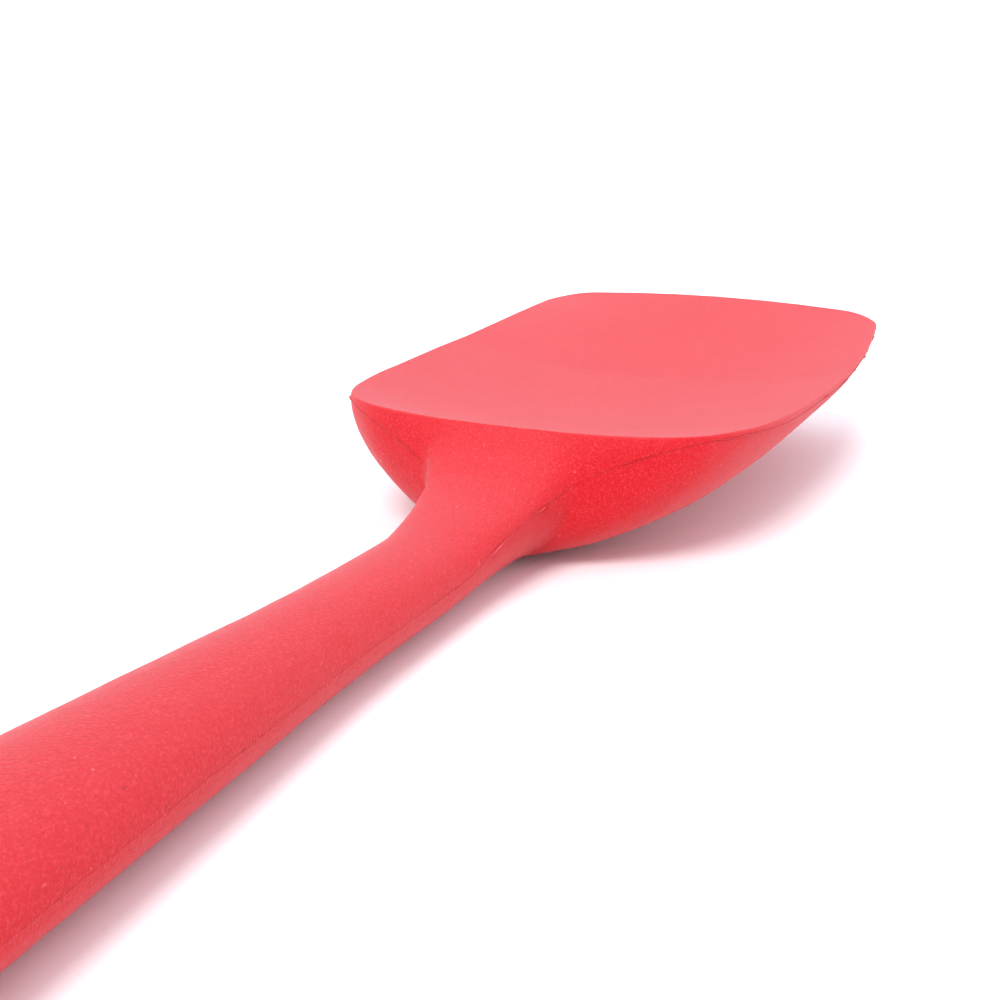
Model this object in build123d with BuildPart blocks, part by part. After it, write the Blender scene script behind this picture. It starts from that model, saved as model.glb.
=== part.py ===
from build123d import *
import os

# Silicone spatula: a soft dished blade and a round grip, moulded in two halves over one stiff core.
# Lengths are millimetres, +X runs from the grip to the blade's tip, +Z is up from the table.

# Overall sizes
overall_length = 280
head_length = 99
head_width = 61
rim_height = 20.5
grip_width = 22
grip_thickness = 11.6

# Blade tip
tip_bow = 0.4
tip_corner = 7.5
tip_round_share = 0.55
tip_clearance = 0.03

# Dish pressed into the blade's face
dish_chord_share = 1.1
dish_station_count = 20

# Stiff core
core_neck_width = 6.2
core_grip_width = 12
core_paddle_width = 20
core_thickness = 4
lock_hole_diameter = 4
lock_slot_length = 14

# Hanging hole
hang_hole_diameter = 6
hang_hole_inset = 13
hang_lining = 1.5
hang_ring_wall = 3.5

# Derived sizes
tip_x = overall_length / 2
grip_end_x = -overall_length / 2
rear_rim_x = tip_x - head_length
shank_length = rear_rim_x - grip_end_x
half_head = head_width / 2
half_grip = grip_width / 2
clear_height = 2 * rim_height
hang_x = grip_end_x + hang_hole_inset
round_x = grip_end_x + half_grip

# Sections of the shank, from the grip's end to the neck: place along the shank, half width,
# seam, underside and crown heights as shares of the grip's size
shank_place_shares = (0, 0.24, 0.40, 0.50, 0.66, 0.80)
shank_width_shares = (1.0, 0.96, 0.84, 0.745, 0.585, 0.475)
shank_seam_shares = (0.5, 0.5, 0.49, 0.485, 0.465, 0.45)
shank_under_shares = (0, 0, 0, 0.01, 0.026, 0.06)
shank_crown_shares = (1.0, 1.0, 0.975, 0.935, 0.88, 0.82)
shank_split_shares = (0.47, 0.47, 0.46, 0.455, 0.44, 0.43)
shank_fullness_share = 0.56
shank_belly_share = 0.5

# Sections of the blade, from the neck to past the tip: place along the head, half width,
# seam, underside and crown heights as shares of the head's size. The crown above the rim is
# cut away by the dish.
head_place_shares = (
    -0.2, -0.13, -0.065, -0.02, 0.003, 0.014, 0.025, 0.041, 0.075, 0.14, 0.24, 0.38, 0.54, 0.7, 0.86, 1.03,
)
head_width_shares = (
    0.174, 0.187, 0.216, 0.253, 0.3, 0.39, 0.5, 0.62, 0.75, 0.846, 0.915, 0.96, 0.993, 1.0, 0.98, 0.935,
)
head_seam_shares = (
    0.26, 0.335, 0.41, 0.47, 0.53, 0.61, 0.68, 0.74, 0.785, 0.78, 0.765, 0.775, 0.795, 0.84, 0.9, 0.97,
)
head_under_shares = (
    0.044, 0.046, 0.05, 0.048, 0.045, 0.043, 0.04, 0.035, 0.015, 0.01, 0.075, 0.205, 0.39, 0.585, 0.775, 0.95,
)
head_crown_shares = (
    0.45, 0.48, 0.54, 0.675, 0.83, 0.91, 0.99, 1.09, 1.22, 1.37, 1.46, 1.5, 1.5, 1.5, 1.5, 1.5,
)
head_belly_shares = (
    0.55, 0.54, 0.52, 0.5, 0.49, 0.485, 0.48, 0.475, 0.46, 0.44, 0.4, 0.37, 0.37, 0.39, 0.44, 0.52,
)
head_split_shares = (
    0.245, 0.26, 0.27, 0.28, 0.285, 0.29, 0.295, 0.3, 0.31, 0.325, 0.345, 0.39, 0.48, 0.63, 0.82, 0.965,
)
head_flare_share = 0.6

# The body is lofted in four runs that meet at these places along the head. The neck's and the
# shoulders' runs have the shortest steps, because the shape changes fastest there.
run_limit_shares = (-0.414, -0.03, 0.131)
run_step_counts = (15, 15, 20, 16)

# Sections of the dish: place along the head, depth line height and edge rise as shares of rim height
dish_place_shares = (-0.055, 0, 0.04, 0.1, 0.2, 0.36, 0.54, 0.7, 0.86, 1.0, 1.05)
dish_floor_shares = (0.9, 0.817, 0.76, 0.695, 0.645, 0.625, 0.655, 0.76, 0.91, 1.06, 1.12)
dish_rise_shares = (0.17, 0.17, 0.18, 0.236, 0.246, 0.246, 0.213, 0.136, 0.03, -0.075, -0.09)

# Middle line of the core: place along the whole part, height and thickness
core_place_shares = (0.03, 0.35, 0.60, 0.68, 0.72, 0.77, 0.83, 0.90)
core_height_shares = (0.28, 0.28, 0.265, 0.31, 0.335, 0.38, 0.47, 0.62)
core_thick_shares = (1.0, 1.0, 1.0, 1.0, 0.9, 0.7, 0.5, 0.45)
paddle_place_share = 0.26
paddle_end_share = 0.56
core_neck_share = -0.13
core_widen_share = 0.5
core_slim_share = 0.72
slot_place_shares = (0.26, 0.42, 0.58, 0.74)
hole_place_shares = (0.16, 0.28, 0.40)

# Guide rows: place, half width, seam, underside, crown and split heights, belly and flare fullness
shank_rows = [
    (
        grip_end_x + place * shank_length,
        width * half_grip,
        seam * grip_thickness,
        under * grip_thickness,
        crown * grip_thickness,
        split * grip_thickness,
        shank_belly_share,
        shank_fullness_share,
    )
    for place, width, seam, under, crown, split in zip(
        shank_place_shares, shank_width_shares, shank_seam_shares, shank_under_shares, shank_crown_shares,
        shank_split_shares,
    )
]
head_rows = [
    (
        rear_rim_x + place * head_length,
        width * half_head,
        seam * rim_height,
        under * rim_height,
        crown * rim_height,
        split * rim_height,
        belly,
        head_flare_share,
    )
    for place, width, seam, under, crown, split, belly in zip(
        head_place_shares, head_width_shares, head_seam_shares, head_under_shares, head_crown_shares,
        head_split_shares, head_belly_shares,
    )
]
rows = shank_rows + head_rows
dish_rows = [
    (rear_rim_x + place * head_length, floor * rim_height, rise * rim_height)
    for place, floor, rise in zip(dish_place_shares, dish_floor_shares, dish_rise_shares)
]
core_line = [
    (grip_end_x + place * overall_length, height * rim_height, thick * core_thickness)
    for place, height, thick in zip(core_place_shares, core_height_shares, core_thick_shares)
]


# Slope of a guide at one of its rows, which never overshoots the neighbours
def guide_slope(guide, row, column):
    steps = [
        (guide[k + 1][column] - guide[k][column]) / (guide[k + 1][0] - guide[k][0])
        for k in (row - 1, row)
        if 0 <= k < len(guide) - 1
    ]
    if len(steps) == 1:
        return steps[0]
    before, after = steps
    return 2 * before * after / (before + after) if before * after > 0 else 0


# One guide value at any place between the rows
def guide_value(guide, x, column):
    row = max(k for k in range(len(guide) - 1) if k == 0 or guide[k][0] <= x)
    run = guide[row + 1][0] - guide[row][0]
    share = (x - guide[row][0]) / run
    rest = 1 - share
    value = guide[row][column] * rest**2 * (1 + 2 * share) + guide[row + 1][column] * share**2 * (1 + 2 * rest)
    lead = guide_slope(guide, row, column) * rest - guide_slope(guide, row + 1, column) * share
    return value + run * share * rest * lead


# Sections of one lofted run, evenly spaced
def run_sections(start, stop, steps):
    places = [start + (stop - start) * k / steps for k in range(steps + 1)]
    return [tuple([x] + [guide_value(rows, x, column) for column in range(1, len(rows[0]))]) for x in places]


run_limits = [round_x, *[rear_rim_x + place * head_length for place in run_limit_shares], rows[-1][0]]
runs = [run_sections(start, stop, steps) for start, stop, steps in zip(run_limits, run_limits[1:], run_step_counts)]
end_x, *end_shape = runs[0][0]
dish_run = dish_rows[-1][0] - dish_rows[0][0]
dish_stations = [dish_rows[0][0] + dish_run * k / dish_station_count for k in range(dish_station_count + 1)]


# Half of one section of the upper half, from the crown round to the seam and back to the middle
def draw_upper(half_width, seam, under, crown, split_height, belly, flare):
    Bezier(
        (0, crown),
        (flare * half_width, crown),
        (half_width, seam + flare * (crown - seam)),
        (half_width, seam),
    )
    Bezier((half_width, seam), (half_width / 2, split_height), (0, split_height))
    Line((0, split_height), (0, crown))


# Half of one section of the lower half, from the underside round to the seam and back
def draw_lower(half_width, seam, under, crown, split_height, belly, flare):
    Bezier(
        (0, under),
        (belly * half_width, under),
        (half_width, seam + belly * (under - seam)),
        (half_width, seam),
    )
    Bezier((half_width, seam), (half_width / 2, split_height), (0, split_height))
    Line((0, split_height), (0, under))


os.makedirs("parts", exist_ok=True)

# Stiff core: its plan, cut to its side profile
with BuildPart() as core:
    half_neck = core_neck_width / 2
    half_bar = core_grip_width / 2
    half_paddle = core_paddle_width / 2
    ring = hang_hole_diameter / 2 + hang_lining + hang_ring_wall
    neck_x = rear_rim_x + core_neck_share * head_length
    paddle_x = rear_rim_x + paddle_place_share * head_length
    paddle_end_x = rear_rim_x + paddle_end_share * head_length
    widen_x = grip_end_x + core_widen_share * shank_length
    slim_x = grip_end_x + core_slim_share * shank_length
    with BuildSketch():
        with BuildLine():
            Polyline((hang_x, 0), (hang_x, half_bar), (widen_x, half_bar), (slim_x, half_neck), (neck_x, half_neck))
            Spline(
                (neck_x, half_neck),
                (paddle_x, half_paddle),
                (paddle_end_x, 0),
                tangents=((1, 0), (0, -1)),
            )
            Line((paddle_end_x, 0), (hang_x, 0))
        make_face()
        mirror(about=Plane.XZ)
        with Locations((hang_x, 0)):
            Circle(ring)
            Circle(ring - hang_ring_wall, mode=Mode.SUBTRACT)
        with Locations(*[(grip_end_x + place * shank_length, 0) for place in slot_place_shares]):
            SlotOverall(lock_slot_length, lock_hole_diameter, mode=Mode.SUBTRACT)
        with Locations(*[(rear_rim_x + place * head_length, 0) for place in hole_place_shares]):
            Circle(lock_hole_diameter / 2, mode=Mode.SUBTRACT)
    extrude(amount=rim_height)
    with BuildSketch(Plane.XZ):
        with BuildLine():
            top = Spline(*[(x, z + thick / 2) for x, z, thick in core_line])
            bottom = Spline(*[(x, z - thick / 2) for x, z, thick in core_line])
            Line(top @ 0, bottom @ 0)
            Line(top @ 1, bottom @ 1)
        make_face()
    extrude(amount=head_width, both=True, mode=Mode.INTERSECT)

# Hanging hole, bored through both silicone halves
with BuildPart() as hang_bore:
    with Locations((hang_x, 0)):
        Cylinder(hang_hole_diameter / 2, 2 * rim_height)

# What is trimmed off in front of the blade's tip: a bowed front edge with two round corners
with BuildPart() as tip_trim:
    corner_x = tip_x - tip_bow - tip_corner
    corner_y = guide_value(rows, corner_x, 1) + tip_clearance
    front_x = tip_x - tip_bow
    front_y = corner_y - tip_corner
    reach = tip_round_share * tip_corner
    lean = (guide_value(rows, corner_x, 1) - guide_value(rows, front_x, 1)) * tip_round_share
    with BuildSketch():
        with BuildLine():
            Polyline(
                (tip_x + tip_corner, 0),
                (tip_x + tip_corner, head_width),
                (corner_x, head_width),
                (corner_x, corner_y),
            )
            Bezier(
                (corner_x, corner_y),
                (corner_x + reach, corner_y - lean),
                (front_x, front_y + reach),
                (front_x, front_y),
            )
            Bezier((front_x, front_y), (tip_x, front_y / 2), (tip_x, 0))
            mirror(about=Plane.XZ)
        make_face()
    extrude(amount=clear_height)

# Room of the dish, pressed down into the blade's face; its edge leaves the rim
with BuildPart() as dish:
    dish_chord = dish_chord_share * half_head
    for x in dish_stations:
        low = guide_value(dish_rows, x, 1)
        edge = low + guide_value(dish_rows, x, 2)
        with BuildSketch(Plane.YZ.offset(x)):
            with BuildLine():
                Bezier((-dish_chord, edge), (0, 2 * low - edge), (dish_chord, edge))
                Polyline(
                    (dish_chord, edge),
                    (dish_chord, clear_height),
                    (-dish_chord, clear_height),
                    (-dish_chord, edge),
                )
            make_face()
    loft()

# Lower silicone half: belly, keel and the underside of the grip
with BuildPart() as silicone_lower:
    for run in runs:
        for x, *shape in run:
            with BuildSketch(Plane.YZ.offset(x)):
                with BuildLine():
                    draw_lower(*shape)
                make_face()
        loft()
    mirror(about=Plane.XZ)
    with BuildSketch(Plane.YZ.offset(end_x)):
        with BuildLine():
            draw_lower(*end_shape)
        make_face()
    revolve(axis=Axis((end_x, 0, 0), (0, 0, 1)), revolution_arc=180)
    add(tip_trim.part, mode=Mode.SUBTRACT)
    add(core.part, mode=Mode.SUBTRACT)
    add(hang_bore.part, mode=Mode.SUBTRACT)

# Upper silicone half: dished face, rim, flare and the top of the grip
with BuildPart() as silicone_upper:
    for run in runs:
        for x, *shape in run:
            with BuildSketch(Plane.YZ.offset(x)):
                with BuildLine():
                    draw_upper(*shape)
                make_face()
        loft()
    mirror(about=Plane.XZ)
    with BuildSketch(Plane.YZ.offset(end_x)):
        with BuildLine():
            draw_upper(*end_shape)
        make_face()
    revolve(axis=Axis((end_x, 0, 0), (0, 0, 1)), revolution_arc=180)
    add(dish.part, mode=Mode.SUBTRACT)
    add(tip_trim.part, mode=Mode.SUBTRACT)
    add(core.part, mode=Mode.SUBTRACT)
    add(hang_bore.part, mode=Mode.SUBTRACT)

silicone_lower.part.label = "silicone_lower"
silicone_upper.part.label = "silicone_upper"
core.part.label = "core"
export_step(silicone_lower.part, "parts/silicone_lower.step")
export_step(silicone_upper.part, "parts/silicone_upper.step")
export_step(core.part, "parts/core.step")
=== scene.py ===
import bpy
import bmesh
import math
from mathutils import Matrix, Vector, noise
from mathutils.bvhtree import BVHTree


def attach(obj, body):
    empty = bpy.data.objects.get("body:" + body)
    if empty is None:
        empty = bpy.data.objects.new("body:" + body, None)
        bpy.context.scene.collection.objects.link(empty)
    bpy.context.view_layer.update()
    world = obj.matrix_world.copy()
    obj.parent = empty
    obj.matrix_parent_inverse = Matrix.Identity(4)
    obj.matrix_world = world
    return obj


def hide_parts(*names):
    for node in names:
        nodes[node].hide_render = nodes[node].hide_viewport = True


# Red silicone spoon spatula: two moulded halves of skin, the flash along their parting line, and the core inside
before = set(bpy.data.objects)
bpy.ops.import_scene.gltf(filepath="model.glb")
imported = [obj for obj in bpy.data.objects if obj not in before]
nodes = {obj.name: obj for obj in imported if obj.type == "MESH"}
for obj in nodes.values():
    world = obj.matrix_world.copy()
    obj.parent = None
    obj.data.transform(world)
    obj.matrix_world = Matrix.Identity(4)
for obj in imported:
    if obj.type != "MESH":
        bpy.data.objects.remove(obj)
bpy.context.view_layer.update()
mm = 0.001
mergeMm = 0.001  # corners of loose triangles this close are one
print("frame loaded", sorted(nodes))


def toLinear(hexColour):
    parts = [int(hexColour[k:k + 2], 16) / 255 for k in (1, 3, 5)]
    return tuple(p / 12.92 if p <= 0.04045 else ((p + 0.055) / 1.055) ** 2.4 for p in parts) + (1.0,)


# Adds a node with its settings. A socket gets a value, or a link where another node's socket is given.
# Sockets are given by name, or as n0, n1 and so on where several have the same name.
def addNode(tree, kind, settings=None, **sockets):
    node = tree.nodes.new(kind)
    for key, value in (settings or {}).items():
        setattr(node, key, value)
    for key, value in sockets.items():
        numbered = key[0] == "n" and key[1:].isdigit()
        socket = node.inputs[int(key[1:]) if numbered else key.replace("_", " ")]
        if isinstance(value, bpy.types.NodeSocket):
            tree.links.new(value, socket)
        else:
            socket.default_value = value
    return node


# Scale of a pattern whose features are as large as a real length, in millimetres
def scaleFor(sizeMm):
    return 1 / (sizeMm * mm)


# Finished mesh of one bmesh, as a new object at the origin
def addPiece(name, bm, material, smooth=True):
    mesh = bpy.data.meshes.new(name)
    bm.to_mesh(mesh)
    bm.free()
    mesh.materials.append(material)
    for polygon in mesh.polygons:
        polygon.use_smooth = smooth
    obj = bpy.data.objects.new(name, mesh)
    bpy.context.scene.collection.objects.link(obj)
    return obj


# Silicone: platinum-cured rubber pressed in a steel mould with spark-eroded walls. The walls leave a fine dry
# grain, so it has no clear highlight, and it goes pale where it is seen at a slant. What faces up is mixed towards a
# pale colour, partly for a film of fine dust and partly as painted light of the bright overhead surroundings. A
# little light scatters under the surface. The grain is drawn at about twice its real size.
silicone = dict(
    red="#C8101D", deepRed="#BD0E1A", speckle="#E86671", pit="#880812", dustAndPaintedLight="#F0C0C6",
    mottleMm=17, mottleDetail=4.0, mottleRough=0.6,
    grainMm=0.26, grainDetail=3.0, grainRough=0.75, grainDepthMm=0.1, grainBump=0.9,
    grainMiddle=0.5, hollowAt=0.3, hollowShare=0.22, crestAt=0.7, crestShare=0.22,
    speckMm=0.55, speckFrom=0.74, speckAt=0.8, speckShare=0.5,
    pitMm=0.5, pitFrom=0.27, pitAt=0.22, pitShare=0.6, spotDetail=1.0,
    # the pale mix on upward faces is partly dust and partly painted light from overhead
    dustAndLightFrom=0.0, dustAndLightAt=0.9, dustAndLightShare=0.048,
    peelMm=1.1, peelDetail=2.0, peelDepthMm=0.08, peelBump=0.4,
    roughness=0.52, ior=1.42, specular=0.22, sheen=0.12, sheenRoughness=0.45,
    scatter=0.1, scatterMm=1.5, scatterReach=(1.0, 0.2, 0.2),
)


def makeSilicone(name, look):
    material = bpy.data.materials.new(name)
    material.use_nodes = True
    tree = material.node_tree
    tree.nodes.clear()
    place = addNode(tree, "ShaderNodeTexCoord").outputs["Object"]
    mottle = addNode(
        tree, "ShaderNodeTexNoise", Vector=place, Scale=scaleFor(look["mottleMm"]),
        Detail=look["mottleDetail"], Roughness=look["mottleRough"],
    ).outputs["Fac"]
    red = addNode(
        tree, "ShaderNodeMixRGB", n0=mottle, n1=toLinear(look["deepRed"]), n2=toLinear(look["red"]),
    ).outputs[0]
    # the grain is pale on its crests and deep in its hollows
    grain = addNode(
        tree, "ShaderNodeTexNoise", Vector=place, Scale=scaleFor(look["grainMm"]),
        Detail=look["grainDetail"], Roughness=look["grainRough"],
    ).outputs["Fac"]
    hollow = addNode(
        tree, "ShaderNodeMapRange", Value=grain,
        From_Min=look["grainMiddle"], From_Max=look["hollowAt"], To_Max=look["hollowShare"],
    ).outputs["Result"]
    deep = addNode(tree, "ShaderNodeMixRGB", n0=hollow, n1=red, n2=toLinear(look["pit"])).outputs[0]
    crest = addNode(
        tree, "ShaderNodeMapRange", Value=grain,
        From_Min=look["grainMiddle"], From_Max=look["crestAt"], To_Max=look["crestShare"],
    ).outputs["Result"]
    speckled = addNode(tree, "ShaderNodeMixRGB", n0=crest, n1=deep, n2=toLinear(look["speckle"])).outputs[0]
    # pale specks of bloom and dark pits of trapped air
    specks = addNode(
        tree, "ShaderNodeTexNoise", Vector=place, Scale=scaleFor(look["speckMm"]), Detail=look["spotDetail"],
    ).outputs["Fac"]
    speck = addNode(
        tree, "ShaderNodeMapRange", Value=specks,
        From_Min=look["speckFrom"], From_Max=look["speckAt"], To_Max=look["speckShare"],
    ).outputs["Result"]
    bloomed = addNode(tree, "ShaderNodeMixRGB", n0=speck, n1=speckled, n2=toLinear(look["speckle"])).outputs[0]
    pits = addNode(
        tree, "ShaderNodeTexNoise", Vector=place, Scale=scaleFor(look["pitMm"]), Detail=look["spotDetail"],
    ).outputs["Fac"]
    pit = addNode(
        tree, "ShaderNodeMapRange", Value=pits,
        From_Min=look["pitFrom"], From_Max=look["pitAt"], To_Max=look["pitShare"],
    ).outputs["Result"]
    pitted = addNode(tree, "ShaderNodeMixRGB", n0=pit, n1=bloomed, n2=toLinear(look["pit"])).outputs[0]
    # what faces up is made paler: partly dust, partly painted light of the bright overhead surroundings
    normal = addNode(tree, "ShaderNodeNewGeometry").outputs["Normal"]
    facing = addNode(tree, "ShaderNodeSeparateXYZ", Vector=normal).outputs["Z"]
    dustAndLightMask = addNode(
        tree, "ShaderNodeMapRange", Value=facing,
        From_Min=look["dustAndLightFrom"], From_Max=look["dustAndLightAt"], To_Max=look["dustAndLightShare"],
    ).outputs["Result"]
    dustedAndLit = addNode(tree, "ShaderNodeMixRGB", n0=dustAndLightMask, n1=pitted, n2=toLinear(look["dustAndPaintedLight"])).outputs[0]
    # relief: the grain of the mould's walls over a faint peel
    relief = addNode(
        tree, "ShaderNodeBump", Height=grain, Strength=look["grainBump"], Distance=look["grainDepthMm"] * mm,
    ).outputs["Normal"]
    waves = addNode(
        tree, "ShaderNodeTexNoise", Vector=place, Scale=scaleFor(look["peelMm"]), Detail=look["peelDetail"],
    ).outputs["Fac"]
    peel = addNode(
        tree, "ShaderNodeBump", Height=waves, Strength=look["peelBump"],
        Distance=look["peelDepthMm"] * mm, Normal=relief,
    ).outputs["Normal"]
    shader = addNode(
        tree, "ShaderNodeBsdfPrincipled", Base_Color=dustedAndLit, Normal=peel,
        Roughness=look["roughness"], IOR=look["ior"], Specular_IOR_Level=look["specular"],
        Sheen_Weight=look["sheen"], Sheen_Roughness=look["sheenRoughness"],
        Subsurface_Weight=look["scatter"], Subsurface_Radius=look["scatterReach"],
        Subsurface_Scale=look["scatterMm"] * mm,
    )
    addNode(tree, "ShaderNodeOutputMaterial", Surface=shader.outputs["BSDF"])
    return material


# Glass-filled nylon of the core: dark and dry, with short fibres that dull its surface. It is all inside the skin.
coreLook = dict(
    colour="#2B2C30", fibre="#3A3B40", roughness=0.55, fibreMm=0.4, fibreDetail=3.0, fibreDepthMm=0.04, fibreBump=0.3,
)


def makeNylon():
    material = bpy.data.materials.new("glass-filled nylon")
    material.use_nodes = True
    tree = material.node_tree
    tree.nodes.clear()
    place = addNode(tree, "ShaderNodeTexCoord").outputs["Object"]
    fibre = addNode(
        tree, "ShaderNodeTexNoise", Vector=place, Scale=scaleFor(coreLook["fibreMm"]), Detail=coreLook["fibreDetail"],
    ).outputs["Fac"]
    colour = addNode(
        tree, "ShaderNodeMixRGB", n0=fibre, n1=toLinear(coreLook["colour"]), n2=toLinear(coreLook["fibre"]),
    ).outputs[0]
    bump = addNode(
        tree, "ShaderNodeBump", Height=fibre,
        Strength=coreLook["fibreBump"], Distance=coreLook["fibreDepthMm"] * mm,
    ).outputs["Normal"]
    shader = addNode(
        tree, "ShaderNodeBsdfPrincipled", Base_Color=colour, Roughness=coreLook["roughness"], Normal=bump,
    )
    addNode(tree, "ShaderNodeOutputMaterial", Surface=shader.outputs["BSDF"])
    return material


mouldedSilicone = makeSilicone("moulded silicone", silicone)
# Torn film of the same silicone, thin enough to let light through, so it is paler
tornFilm = makeSilicone("torn silicone film", dict(silicone, red="#E4606A", deepRed="#D8424E", speckle="#F6B0B6"))
glassNylon = makeNylon()
print("materials made")

# Skin: each half keeps the solid's shape and gets the mould's edge radius. The radius is smaller where the halves
# meet and where the triangles are narrow, and edges beside the core get none.
skin = dict(
    edgeMm=0.25, seamEdgeMm=0.05, segments=3, sharpDegrees=32, meetMm=0.03, roomShare=0.45, coreGapMm=1.2,
    foldDegrees=120, easeMm=0.8, easeShare=0.25, easeRounds=3,
)


def copyOf(name):
    bm = bmesh.new()
    bm.from_mesh(nodes[name].data)
    bmesh.ops.remove_doubles(bm, verts=bm.verts, dist=mergeMm * mm)
    return bm


def treeOf(name):
    bm = copyOf(name)
    tree = BVHTree.FromBMesh(bm)
    bm.free()
    return tree


def isSharp(edge):
    return len(edge.link_faces) == 2 and edge.calc_face_angle() > math.radians(skin["sharpDegrees"])


def middleOf(edge):
    return (edge.verts[0].co + edge.verts[1].co) / 2


# How far the middle of an edge is from another node's surface
def edgeGap(edge, tree):
    return tree.find_nearest(middleOf(edge))[3]


# Radius that the triangles round a vertex have room for, along every sharp edge there
def roomAt(vert):
    sharp = [e for e in vert.link_edges if isSharp(e)]
    inner = [e for e in vert.link_edges if not isSharp(e)]
    ways = [(e.other_vert(vert).co - vert.co).normalized() for e in sharp]
    sides = [e.other_vert(vert).co - vert.co for e in inner]
    return min([side.cross(way).length for side in sides for way in ways], default=0)


# Places where the finished bevel still folds over itself
def foldedPlaces(piece):
    bm = bmesh.new()
    bm.from_mesh(piece.evaluated_get(bpy.context.evaluated_depsgraph_get()).to_mesh())
    limit = math.radians(skin["foldDegrees"])
    places = [middleOf(e) for e in bm.edges if len(e.link_faces) == 2 and e.calc_face_angle(0) > limit]
    bm.free()
    return places


# Takes the radius down near each fold, and looks again
def easeFolds(piece):
    for _ in range(skin["easeRounds"]):
        places = foldedPlaces(piece)
        bm = bmesh.new()
        bm.from_mesh(piece.data)
        weight = bm.edges.layers.float["bevel_weight_edge"]
        for edge in bm.edges:
            reach = skin["easeMm"] * mm + edge.calc_length() / 2
            if edge[weight] > 0 and any((middleOf(edge) - place).length < reach for place in places):
                edge[weight] *= skin["easeShare"]
        bm.to_mesh(piece.data)
        bm.free()


def makeSkin(name, node, otherNode):
    other, inner = treeOf(otherNode), treeOf("core")
    bm = copyOf(node)
    weight = bm.edges.layers.float.new("bevel_weight_edge")
    for edge in bm.edges:
        if isSharp(edge):
            width = skin["seamEdgeMm"] if edgeGap(edge, other) < skin["meetMm"] * mm else skin["edgeMm"]
            room = min(roomAt(vert) for vert in edge.verts) * skin["roomShare"] / mm
            hidden = edgeGap(edge, inner) < skin["coreGapMm"] * mm
            edge[weight] = 0 if hidden else min(width, room) / skin["edgeMm"]
            edge.smooth = False
    piece = addPiece(name, bm, mouldedSilicone)
    radius = piece.modifiers.new("mould radius", "BEVEL")
    radius.limit_method = "WEIGHT"
    radius.width = skin["edgeMm"] * mm
    radius.segments = skin["segments"]
    radius.use_clamp_overlap = False
    easeFolds(piece)
    # large faces set the shading, so that the smallest facets of the radius don't darken them
    shading = piece.modifiers.new("even shading", "WEIGHTED_NORMAL")
    shading.keep_sharp = True
    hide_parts(node)
    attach(piece, "root")
    print(name, "made from", len(piece.data.polygons), "faces")
    return piece


upperSkin = makeSkin("upperSkin", "silicone_upper", "silicone_lower")
lowerSkin = makeSkin("lowerSkin", "silicone_lower", "silicone_upper")
nodes["core"].data.materials.clear()
nodes["core"].data.materials.append(glassNylon)

# Flash: the torn film of silicone that squeezed out between the mould's halves, round the blade and the neck.
# Its height is a share of the full height: a middle share, waves of two lengths, and never less than the least.
flash = dict(
    heightMm=0.26, rootMm=0.15, thickMm=0.07, stepMm=0.45, coreGapMm=0.5, bladeMiddleMm=(90, 0, 0),
    middleShare=0.1, leastShare=0.08, tearMm=1.9, tearShare=1.3, breakMm=8, breakShare=1.2, breakShift=(7, 3, 5),
    rearMm=12, fadeMm=12,
)


def outwardAt(vert):
    ends = [edge.other_vert(vert).co for edge in vert.link_edges]
    along = (ends[-1] - (ends[0] if len(ends) > 1 else vert.co)).normalized()
    outward = along.cross(Vector((0, 0, 1))).normalized()
    middle = Vector(flash["bladeMiddleMm"]) * mm
    return outward if outward.dot(vert.co - middle) > 0 else -outward


# Height of the film at a place: torn, with breaks, and dying out towards the grip
def flashHeight(place):
    tear = flash["tearShare"] * noise.noise(place / (flash["tearMm"] * mm))
    gap = flash["breakShare"] * noise.noise(place / (flash["breakMm"] * mm) + Vector(flash["breakShift"]))
    share = max(flash["leastShare"], min(1.0, flash["middleShare"] + tear + gap))
    fade = min(1.0, (place.x - flash["rearMm"] * mm) / (flash["fadeMm"] * mm))
    return share * fade * flash["heightMm"] * mm


def makeFlash():
    other, inner = treeOf("silicone_upper"), treeOf("core")
    bm = copyOf("silicone_lower")
    line = {
        e for e in bm.edges
        if isSharp(e) and edgeGap(e, other) < skin["meetMm"] * mm and edgeGap(e, inner) > flash["coreGapMm"] * mm
        and min(v.co.x for v in e.verts) > flash["rearMm"] * mm
    }
    bmesh.ops.delete(bm, geom=list(bm.faces), context="FACES_ONLY")
    bmesh.ops.delete(bm, geom=[e for e in bm.edges if e not in line], context="EDGES")
    bmesh.ops.delete(bm, geom=[v for v in bm.verts if not v.link_edges], context="VERTS")
    while long := [e for e in bm.edges if e.calc_length() > flash["stepMm"] * mm]:
        bmesh.ops.subdivide_edges(bm, edges=long, cuts=1)
    outward = {v: outwardAt(v) for v in bm.verts}
    made = bmesh.ops.extrude_edge_only(bm, edges=list(bm.edges))["geom"]
    for tip in [v for v in made if isinstance(v, bmesh.types.BMVert)]:
        root = next(e.other_vert(tip) for e in tip.link_edges if e.other_vert(tip) in outward)
        tip.co += outward[root] * flashHeight(root.co)
    for root, way in outward.items():
        root.co -= way * flash["rootMm"] * mm
    bmesh.ops.solidify(bm, geom=list(bm.faces), thickness=flash["thickMm"] * mm)
    bmesh.ops.recalc_face_normals(bm, faces=bm.faces)
    piece = addPiece("seamFlash", bm, tornFilm, smooth=False)
    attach(piece, "root")
    print("flash made from", len(piece.data.polygons), "faces")


makeFlash()

# Stage: white paper that the spatula lies on
paper = dict(reach=4.0, white=0.94, roughness=0.9)


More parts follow.
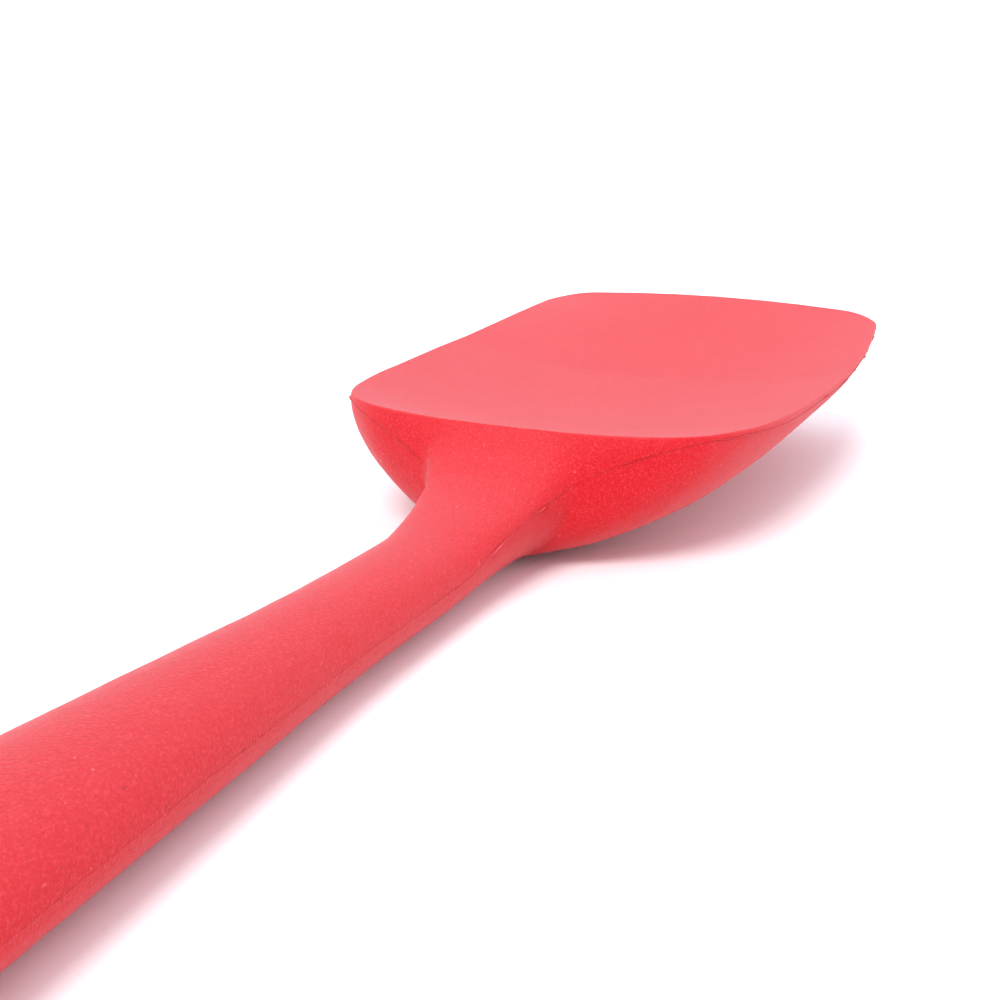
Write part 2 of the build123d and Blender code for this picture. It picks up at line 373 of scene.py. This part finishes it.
def makeStage():
    bm = bmesh.new()
    bmesh.ops.create_grid(bm, x_segments=1, y_segments=1, size=paper["reach"])
    material = bpy.data.materials.new("white paper")
    material.use_nodes = True
    shader = material.node_tree.nodes["Principled BSDF"]
    shader.inputs["Base Color"].default_value = (paper["white"],) * 3 + (1,)
    shader.inputs["Roughness"].default_value = paper["roughness"]
    floor = addPiece("paperFloor", bm, material, smooth=False)


makeStage()

# Camera, as the photograph was taken: low behind the grip, looking along it at the blade. Angles are in radians.
camera = dict(
    lens=45.34, sensorMm=36, nearMm=1, placeMm=(-85.63, -53.44, 46.73), yaw=1.175, pitch=0.274, roll=0.027,
)


def makeCamera():
    data = bpy.data.cameras.new("camera")
    data.lens = camera["lens"]
    data.sensor_width = camera["sensorMm"]
    data.clip_start = camera["nearMm"] * mm
    obj = bpy.data.objects.new("camera", data)
    bpy.context.scene.collection.objects.link(obj)
    yaw, pitch, roll = camera["yaw"], camera["pitch"], camera["roll"]
    forward = Vector((math.sin(yaw) * math.cos(pitch), math.cos(yaw) * math.cos(pitch), -math.sin(pitch)))
    side = Vector((math.cos(yaw), -math.sin(yaw), 0))
    up = side.cross(forward)
    turnedSide = math.cos(roll) * side + math.sin(roll) * up
    turnedUp = math.cos(roll) * up - math.sin(roll) * side
    turn = Matrix((turnedSide, turnedUp, -forward)).transposed().to_4x4()
    obj.matrix_world = Matrix.Translation(Vector(camera["placeMm"]) * mm) @ turn
    bpy.context.scene.camera = obj


makeCamera()

# Soft studio light: a wide key from above and behind the camera, white surroundings that are brightest overhead
# and beyond the blade, and a dim room behind the camera
light = dict(
    keyFrom=(-0.7, -0.02, 0.71), keyStrength=2.3, keyDegrees=22, surround="#F9F5FE",
    brightWay=(0.55, -0.2, 0.8), dim=0.72, bright=1.33, dimTo=-0.5, brightFrom=0.4,
)


def makeLight():
    scene = bpy.context.scene
    world = bpy.data.worlds.new("studio")
    scene.world = world
    world.use_nodes = True
    tree = world.node_tree
    tree.nodes.clear()
    way = addNode(tree, "ShaderNodeTexCoord").outputs["Generated"]
    facing = addNode(
        tree, "ShaderNodeVectorMath", {"operation": "DOT_PRODUCT"}, n0=way, n1=light["brightWay"],
    ).outputs["Value"]
    strength = addNode(
        tree, "ShaderNodeMapRange", {"interpolation_type": "SMOOTHSTEP"}, Value=facing,
        From_Min=light["dimTo"], From_Max=light["brightFrom"], To_Min=light["dim"], To_Max=light["bright"],
    ).outputs["Result"]
    glow = addNode(tree, "ShaderNodeBackground", Color=toLinear(light["surround"]), Strength=strength)
    addNode(tree, "ShaderNodeOutputWorld", Surface=glow.outputs["Background"])
    key = bpy.data.lights.new("key", "SUN")
    key.energy = light["keyStrength"]
    key.angle = math.radians(light["keyDegrees"])
    obj = bpy.data.objects.new("key", key)
    scene.collection.objects.link(obj)
    obj.matrix_world = Vector(light["keyFrom"]).to_track_quat("Z", "Y").to_matrix().to_4x4()
    scene.view_settings.view_transform = "Standard"
    scene.view_settings.look = "None"


makeLight()
print("stage, camera and light set")
